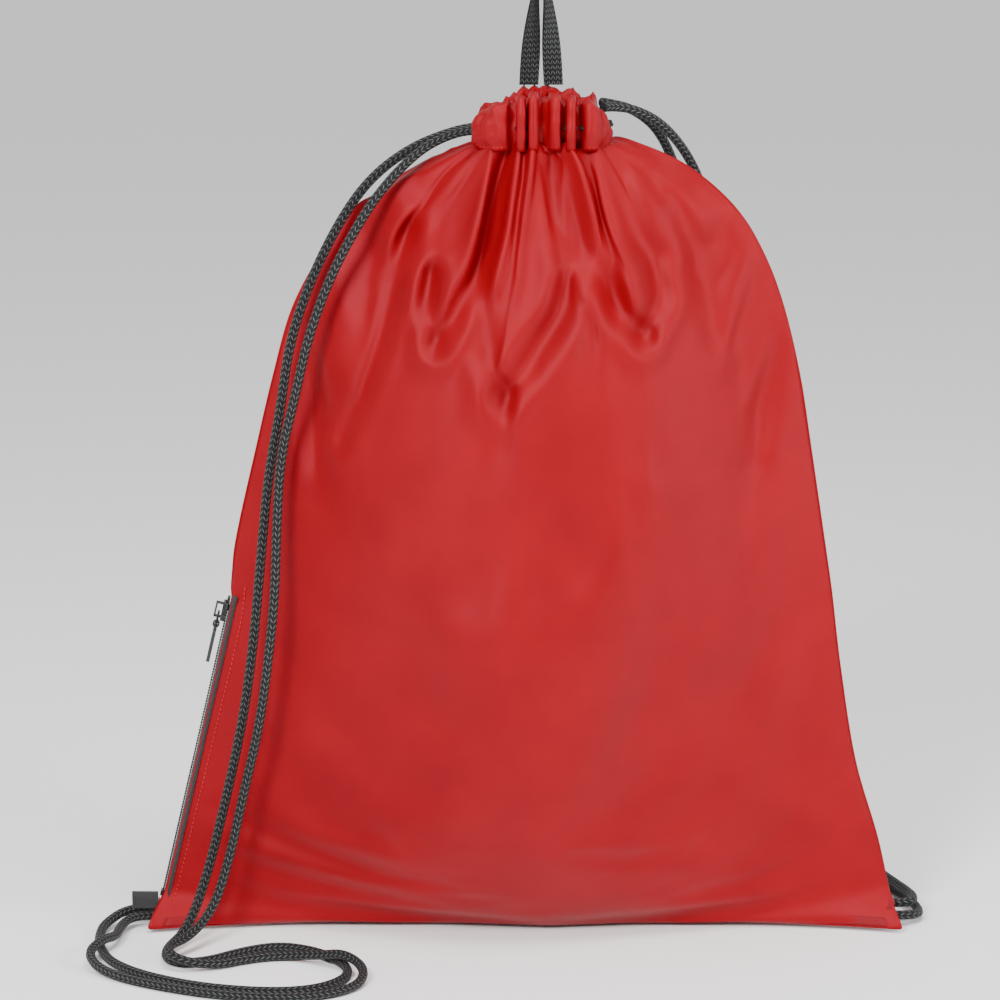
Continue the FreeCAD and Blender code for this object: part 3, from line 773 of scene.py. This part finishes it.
def sackMesh():
    bm = bmesh.new()
    keys = bm.verts.layers.float_vector.new("cut")
    uvs = bm.loops.layers.uv.new("clothPlace")
    columns, rows = sack["columns"], sack["rows"]
    for side in (-1, 1):
        made = bmesh.ops.create_grid(bm, x_segments=columns, y_segments=rows, size=0.5)["verts"]
        for vert in made:
            vert[keys] = Vector((vert.co.x + 0.5, vert.co.y + 0.5, side))
        for face in {f for vert in made for f in vert.link_faces}:
            face.material_index = 0 if side < 0 else 1
    for face in bm.faces:
        for loop in face.loops:
            u, v, side = loop.vert[keys]
            flat = flatSpot(u, v, side)
            loop[uvs].uv = (flat.x + 0.5 * side, flat.z)
    for vert in bm.verts:
        u, v, side = vert[keys]
        vert.co = sackSpot(u, v, side)
    bmesh.ops.remove_doubles(bm, verts=bm.verts, dist=0.0002)
    bmesh.ops.recalc_face_normals(bm, faces=bm.faces)
    return meshFrom(bm, "sack")


def simulateSack(mesh):
    # the filled sack settles: flat-cut cloth, pushed from within, held at its seams and neck
    work = bpy.data.objects.new("sackWork", mesh.copy())
    bpy.context.collection.objects.link(work)
    cut = [Vector(item.vector) for item in work.data.attributes["cut"].data]
    work.shape_key_add(name="made", from_mix=False)
    flat = work.shape_key_add(name="flat", from_mix=False)
    held = work.vertex_groups.new(name="held")
    for i, (u, v, side) in enumerate(cut):
        flat.data[i].co = flatSpot(u, v, side)
        seam = u < 0.001 or u > 0.999
        under = side > 0 and v < 0.09
        if seam or v > 0.999 or v < 0.001 or under:
            held.add([i], 1.0, "REPLACE")
    flat.value = 0.0
    cloth = work.modifiers.new("cloth", "CLOTH")
    settings = cloth.settings
    settings.quality = 6
    settings.mass = 0.12
    settings.tension_stiffness = 22
    settings.compression_stiffness = 22
    settings.shear_stiffness = 6
    settings.bending_model = "ANGULAR"
    settings.bending_stiffness = 0.30
    settings.air_damping = 2.0
    settings.tension_damping = 8
    settings.compression_damping = 8
    settings.use_pressure = True
    settings.uniform_pressure_force = sack["pressure"]
    settings.vertex_group_mass = "held"
    settings.rest_shape_key = work.data.shape_keys.key_blocks["flat"]
    settings.effector_weights.gravity = 0.15
    cloth.collision_settings.use_collision = False
    cloth.collision_settings.use_self_collision = False
    cloth.point_cache.frame_start = 1
    cloth.point_cache.frame_end = sack["frames"]
    scene = bpy.context.scene
    for frameNumber in range(1, sack["frames"] + 1):
        scene.frame_set(frameNumber)
    dg = bpy.context.evaluated_depsgraph_get()
    settled = work.evaluated_get(dg).data
    moved = 0.0
    for vert, other in zip(mesh.vertices, settled.vertices):
        step = other.co - vert.co
        if step.length > sack["cap"]:
            step = step.normalized() * sack["cap"]
        moved = max(moved, step.length)
        vert.co += step
    scene.frame_set(1)
    bpy.data.objects.remove(work)
    print("sack settled, furthest point moved", round(moved * 1000, 1), "mm")


bedding = {
    "floor": 0.0012,        # lowest the cloth may lie
    "fromHeight": 0.012,    # cord lower than this lies on the floor, clear of the cloth
    "reach": 0.034,
    "sideways": 0.020,
    "clear": 0.0036,        # from the cord's middle to the cloth
    "flat": 0.003,
    "slope": 1.1,
    "shoulder": 0.395,      # above this the cord lies on top of the cloth
    "below": 0.0034,
    "shoulderSlope": 0.4,
    "near": (0.012, 0.010, 0.009),
}


def layUnderCords(mesh):
    # the cloth gives way under the cords, and rests on the floor
    places = [(p, -1 if name.startswith("left") else 1)
              for name, line in cordLines.items() for p in line if p.z > bedding["fromHeight"]]
    tree = KDTree(len(places))
    for i, (place, side) in enumerate(places):
        tree.insert(place, i)
    tree.balance()
    nearest, nearY, nearAcross = bedding["near"]
    for vert in mesh.vertices:
        for place, i, gap in tree.find_range(vert.co, bedding["reach"]):
            side = places[i][1]
            sideways = math.hypot(vert.co.x - place.x, (vert.co.z - place.z) * 0.8)
            past = max(0.0, sideways - bedding["flat"])
            if place.z > bedding["shoulder"]:
                lowest = place.z - bedding["below"] - past * bedding["shoulderSlope"]
                if gap < nearest and abs(vert.co.y - place.y) < nearY and vert.co.z > lowest:
                    if math.hypot(vert.co.x - place.x, vert.co.y - place.y) < nearAcross:
                        vert.co.z = lowest
                continue
            limit = place.y - side * (bedding["clear"] - past * bedding["slope"])
            if side * (vert.co.y - limit) > 0 and sideways < bedding["sideways"]:
                vert.co.y = limit
        if vert.co.z < bedding["floor"]:
            vert.co.z = bedding["floor"]


def relax(mesh, rounds, share, low=0.001, high=0.97):
    bm = bmesh.new()
    bm.from_mesh(mesh)
    keys = bm.verts.layers.float_vector["cut"]
    free = [v for v in bm.verts if low < v[keys][1] < high and not v.is_boundary
            and 0.001 < v[keys][0] < 0.999]
    for i in range(rounds):
        bmesh.ops.smooth_vert(bm, verts=free, factor=share,
                              use_axis_x=True, use_axis_y=True, use_axis_z=True)
    bm.to_mesh(mesh)
    bm.free()


def panelOf(mesh, side, name, node):
    bm = bmesh.new()
    bm.from_mesh(mesh)
    other = 1 if side < 0 else 0
    gone = [f for f in bm.faces if f.material_index == other]
    bmesh.ops.delete(bm, geom=gone, context="FACES")
    for face in bm.faces:
        face.material_index = 0
    piece = addPiece(name, meshFrom(bm, name), "bag", redSatin)
    finer = piece.modifiers.new("finer", "SUBSURF")
    finer.levels = 1
    finer.render_levels = 1
    wall = piece.modifiers.new("wall", "SOLIDIFY")
    wall.thickness = sack["wall"]
    wall.offset = -1
    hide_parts(node)
    return piece


cloth = sackMesh()
simulateSack(cloth)
relax(cloth, *sack["calm"])
layUnderCords(cloth)
relax(cloth, 1, 0.35)

# where each place of the cut cloth has come to lie
clothSpots = {}
for item, vert in zip(cloth.attributes["cut"].data, cloth.vertices):
    u, v, side = item.vector
    clothSpots[(round(u * sack["columns"]), round(v * sack["rows"]), round(side))] = vert.co.copy()


def clothAt(column, row, side):
    return clothSpots.get((column, row, side)) or clothSpots[(column, row, -side)]


panels = {
    -1: panelOf(cloth, -1, "front_cloth", "front_panel"),
    1: panelOf(cloth, 1, "rear_cloth", "rear_panel"),
}
print("sack cloth made")

# ribbons, stitches
def gridPiece(name, across, along, place, body, material, thickness):
    # a strip of cloth or tape: place(a, b) gives each point, a across and b along, both 0 to 1
    bm = bmesh.new()
    uvs = bm.loops.layers.uv.new("UVMap")
    bmesh.ops.create_grid(bm, x_segments=across, y_segments=along, size=0.5)
    spans = {v: (v.co.x + 0.5, v.co.y + 0.5) for v in bm.verts}
    for vert, (a, b) in spans.items():
        vert.co = place(a, b)
    middle = [place(0.5, i / along) for i in range(along + 1)]
    side = [place(i / across, 0.5) for i in range(across + 1)]
    length, width = lineLength(middle), lineLength(side)
    for face in bm.faces:
        for loop in face.loops:
            a, b = spans[loop.vert]
            loop[uvs].uv = (b * length, a) if material is loopWebbing else (b * length, a * width)
    bmesh.ops.remove_doubles(bm, verts=bm.verts, dist=0.00002)
    bmesh.ops.recalc_face_normals(bm, faces=bm.faces)
    piece = addPiece(name, meshFrom(bm, name), body, material)
    wall = piece.modifiers.new("wall", "SOLIDIFY")
    wall.thickness = thickness
    wall.offset = 0.0
    return piece


def stitchRow(name, line, outs, pitch, body, material, long=0.0022, thick=0.00042):
    # one short run of thread after another along a line, each a small rounded bead
    bm = bmesh.new()
    spots = evenly(line, pitch)
    for i in range(len(spots) - 1):
        ahead = spots[i + 1] - spots[i]
        if ahead.length < 1e-6:
            continue
        share = i / max(len(spots) - 2, 1)
        out = outs(share)
        middle = (spots[i] + spots[i + 1]) / 2 + out * 0.0003
        turn = ahead.to_track_quat("X", "Z").to_matrix().to_4x4()
        grow = Matrix.Diagonal((long / 2, thick, thick, 1))
        bmesh.ops.create_uvsphere(bm, u_segments=6, v_segments=4, radius=1.0,
                                  matrix=Matrix.Translation(middle) @ turn @ grow)
    piece = addPiece(name, meshFrom(bm, name), body, material)
    return piece


# gathered casing at the neck
casing = {
    "across": 190,
    "up": 22,
    "from": 0.135,          # where the casing starts after the cord slit
    "rise": crownZ - casingLow.z,
    "cloth": 0.0006,
    "cut": 0.052,           # cloth folded over and sewn down to make it
    "hemUp": 0.035,         # share of the way round the fold where the hem is stitched
    "hemSteps": 320,
    "stitchPitch": 0.0021,
}


def casingSpot(a, b, side):
    # b goes up the outside, over the hem at the top and down the inside
    s = mix(casing["from"], 1 - casing["from"], a)
    across = abs(2 * a - 1)
    wave, lean = pleatWave(s, side)
    ripple = noise.noise(Vector((26 * a, side, 2)))
    crown = casing["rise"] - 0.0125 * across ** 2.2 + 0.0020 * wave + 0.0018 * ripple - 0.0010
    gather = neck["depth"]
    if b < 0.46:
        t = b / 0.46
        swell = 0.0020 * math.sin(math.pi * t) + 0.0016 * noise.noise(Vector((17 * a, 4 * t, side)))
        spread = mix(0.0016, neck["layer"], smooth(0.0, 0.32, t)) + swell
        height = neckZ - 0.0030 + (crown + 0.0030) * t
    elif b < 0.54:
        t = (b - 0.46) / 0.08
        spread = neck["layer"] * math.cos(math.pi * t)
        height = neckZ + crown + 0.0022 * math.sin(math.pi * t)
    else:
        t = (b - 0.54) / 0.46
        spread = -neck["layer"] - 0.0005 * math.sin(math.pi * t)
        height = neckZ + crown * (1 - t)
    return ringSpot(s, side, height, spread, gather)


for side, label, node in ((-1, "front_ruffle", "front_casing"), (1, "rear_ruffle", "rear_casing")):
    piece = gridPiece(label, casing["across"], casing["up"],
                      lambda a, b, side=side: casingSpot(a, b, side),
                      "bag", redSatin, casing["cloth"])
    place = piece.data.uv_layers[0]
    place.name = "clothPlace"
    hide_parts(node)
    hem = [casingSpot(i / casing["hemSteps"], casing["hemUp"], side)
           for i in range(casing["hemSteps"] + 1)]
    stitchRow(label + "_stitches", hem, lambda share, side=side: Vector((0, side, 0)) * 0.9,
              casing["stitchPitch"], "bag", redThread,
              long=0.0017, thick=0.00032)

drawn = {
    "radius": 0.0011,
    "height": 0.0085,       # above the foot of the neck
    "from": 0.02,           # share of the half ring left clear at each slit
    "span": 0.96,
    "steps": 240,
}
for name, side in (("left_drawcord", -1), ("right_drawcord", 1)):
    line = [ringSpot(drawn["from"] + drawn["span"] * i / drawn["steps"], side,
                     neckZ + drawn["height"], 0.0, neck["depth"])
            for i in range(drawn["steps"] + 1)]
    mesh = tubeMesh(name + "_line", line, drawn["radius"], 3)
    piece = addPiece(name + "_braid", mesh, "bag", cordBraid)
    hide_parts(name)
print("casing and drawcords made")

# zip in the left side seam
zipFoot = Vector((leftX, seamY, 0.014))
zipHead = Vector((leftX + 0.040, seamY, 0.184))
zipAlong = (zipHead - zipFoot).normalized()
zipOut = Vector((-zipAlong.z, 0, zipAlong.x))
zipLength = (zipHead - zipFoot).length
zipBits = {
    "tapeHalf": 0.0062,
    "tapeIn": 0.0018,           # how far inside the seam plane the tapes lie
    "toothPitch": 0.0015,
    "tooth": (0.0025, 0.00085, 0.0010),
    "rounding": 0.00022,
}


def onZip(outwards, y, up):
    return zipFoot + zipOut * outwards + zipAlong * up + Vector((0, y, 0))


for side, label, node in ((-1, "front_tape", "zip_tape_front"),
                          (1, "rear_tape", "zip_tape_rear")):
    piece = gridPiece(label, 5, 90, lambda a, b, side=side: onZip(
        -zipBits["tapeIn"] - 0.0030 * a * a, side * mix(0.0005, zipBits["tapeHalf"], a),
        mix(0.001, zipLength - 0.001, b)), "bag", blackTape, 0.0006)
    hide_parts(node)

for side, label, node in ((-1, "front_teeth", "zip_coil_front"),
                          (1, "rear_teeth", "zip_coil_rear")):
    bm = bmesh.new()
    count = int((zipLength - 0.011) / zipBits["toothPitch"])
    wide, thick, tall = zipBits["tooth"]
    for i in range(count):
        up = 0.0055 + i * zipBits["toothPitch"] + (0.0 if side < 0 else zipBits["toothPitch"] / 2)
        frameTurn = Matrix((zipOut, Vector((0, 1, 0)), zipAlong)).transposed().to_4x4()
        spot = onZip(-zipBits["tapeIn"] + 0.0009, side * (wide / 2 + 0.0001), up)
        grow = Matrix.Diagonal((tall, wide, thick, 1))
        bmesh.ops.create_cube(bm, size=1.0, matrix=Matrix.Translation(spot) @ frameTurn @ grow)
    bmesh.ops.bevel(bm, geom=bm.edges, offset=zipBits["rounding"], segments=1, profile=0.5,
                    affect="EDGES", material=-1)
    piece = addPiece(label, meshFrom(bm, label), "bag", coilPlastic)
    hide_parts(node)

# top stitching beside the zip, through the folded edge of each panel
lowRow, highRow = round(0.03 * sack["rows"]), round(0.40 * sack["rows"])
for side, label in ((-1, "front_zip_stitches"), (1, "rear_zip_stitches")):
    line = [clothAt(2, row, side) for row in range(lowRow, highRow + 1)]
    stitchRow(label, line, lambda share, side=side: Vector((-0.7, 0.7 * side, 0)), 0.0026, "bag",
              redThread)

# seam tape inside the side and bottom seams, between the two panels
def between(column, row):
    return (clothAt(column, row, -1) + clothAt(column, row, 1)) / 2


columns, rows = sack["columns"], sack["rows"]
seamRuns = {
    "left_seam_binding": [(clothAt(0, row, -1), between(2, row))
                          for row in range(highRow, rows - 3)],
    "right_seam_binding": [(clothAt(columns, row, -1), between(columns - 2, row))
                           for row in range(2, rows - 3)],
    "bottom_seam_binding": [(clothAt(column, 0, -1), between(column, 1))
                            for column in range(2, columns - 1)],
}
for edge, inner in seamRuns["bottom_seam_binding"]:
    inner.z = edge.z + 0.0055
for node, run in seamRuns.items():
    last = len(run) - 1
    piece = gridPiece(node + "_tape", 4, last, lambda a, b, run=run, last=last:
                      run[round(b * last)][0].lerp(run[round(b * last)][1], 0.2 + 0.8 * a),
                      "bag", redTape, 0.0011)
    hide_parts(node)
print("zip and seams made")

# hang loop
loopLow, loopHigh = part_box("hang_loop")
loop = {
    "width": 0.0100,
    "thick": 0.0013,
    "legSpread": 0.0067,
    "crown": 0.14,          # share of each leg that bends over
    "crownHalf": 0.0030,
    "crownDrop": 0.0042,
    "top": loopHigh.z - 0.0008,
    "foot": loopLow.z + 0.001,
    "x": (loopLow.x + loopHigh.x) / 2,
    "y": (loopLow.y + loopHigh.y) / 2,
}


def loopSpot(a, b):
    # the webbing goes up one leg, folds over edge-on at the crown and comes down the other
    leg = -1 if b < 0.5 else 1
    along = abs(2 * b - 1)                       # 1 at the feet, 0 at the crown
    if along < loop["crown"]:
        t = along / loop["crown"]
        height = loop["top"] - loop["crownDrop"] * t * t - 0.0002
        centre = leg * loop["crownHalf"] * math.sqrt(t)
    else:
        t = (along - loop["crown"]) / (1 - loop["crown"])
        centre = leg * mix(loop["crownHalf"], loop["legSpread"] - 0.0003, t ** 0.7)
        height = mix(loop["top"] - loop["crownDrop"], loop["foot"], t)
    turn = math.radians(mix(80, 0, smooth(-0.1, 1.05, along)))
    across = (a - 0.5) * loop["width"]
    return Vector((loop["x"] + centre + across * math.cos(turn),
                   loop["y"] + across * math.sin(turn), height))


webbing = gridPiece("hang_loop_webbing", 10, 150, loopSpot, "loop", loopWebbing, loop["thick"])
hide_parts("hang_loop")
print("hang loop made")

# label and corner tacks
labelLow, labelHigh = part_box("side_label")


def labelSpot(a, b):
    # a folded label: out along the front leaf, round the fold and back
    height = mix(labelLow.z, labelHigh.z, a)
    reach = labelHigh.x - labelLow.x
    curl = 0.0012 * math.sin(3.0 * b) + 0.0005 * math.sin(7 * a)
    if b < 0.47:
        t = b / 0.47
        return Vector((labelHigh.x - reach * t * 0.97, labelLow.y + 0.0002 + curl * 0.3, height))
    if b < 0.53:
        t = (b - 0.47) / 0.06
        return Vector((labelHigh.x - reach * (0.97 + 0.03 * math.sin(math.pi * t)),
                       mix(labelLow.y + 0.0002, labelHigh.y, t) + curl * 0.3, height))
    t = (b - 0.53) / 0.47
    return Vector((labelHigh.x - reach * (1 - t) * 0.97, labelHigh.y + curl * 0.3, height))


leaf = gridPiece("side_label_leaf", 14, 60, labelSpot, "bag", blackLabel, 0.0003)
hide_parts("side_label")

tackRows = 22
for node in ("left_corner_tack", "right_corner_tack"):
    low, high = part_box(node)
    bm = bmesh.new()
    for i in range(tackRows):
        z = mix(low.z, high.z, (i + 0.5) / tackRows)
        spot = Vector(((low.x + high.x) / 2, (low.y + high.y) / 2, z))
        tilt = Matrix.Rotation(0.10 * (-1) ** i, 4, "X")
        grow = Matrix.Diagonal(((high.x - low.x) / 2, (high.y - low.y) / 2, 0.00042, 1))
        bmesh.ops.create_uvsphere(bm, u_segments=10, v_segments=5, radius=1.0,
                                  matrix=Matrix.Translation(spot) @ tilt @ grow)
    piece = addPiece(node + "_threads", meshFrom(bm, node + "_threads"), "bag", redThread)
    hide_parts(node)
print("label and tacks made")

# metal and plastic that keep their own shapes
finishes = {
    "zip_slider": blackEnamel,
    "zip_top_stop": blackEnamel,
    "zip_bottom_stop": blackEnamel,
    "pull_ring": blackEnamel,
    "pull_tab": tabRubber,
}
for node, material in finishes.items():
    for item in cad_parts[node].material_slots:
        item.material = material
print("hardware finished")
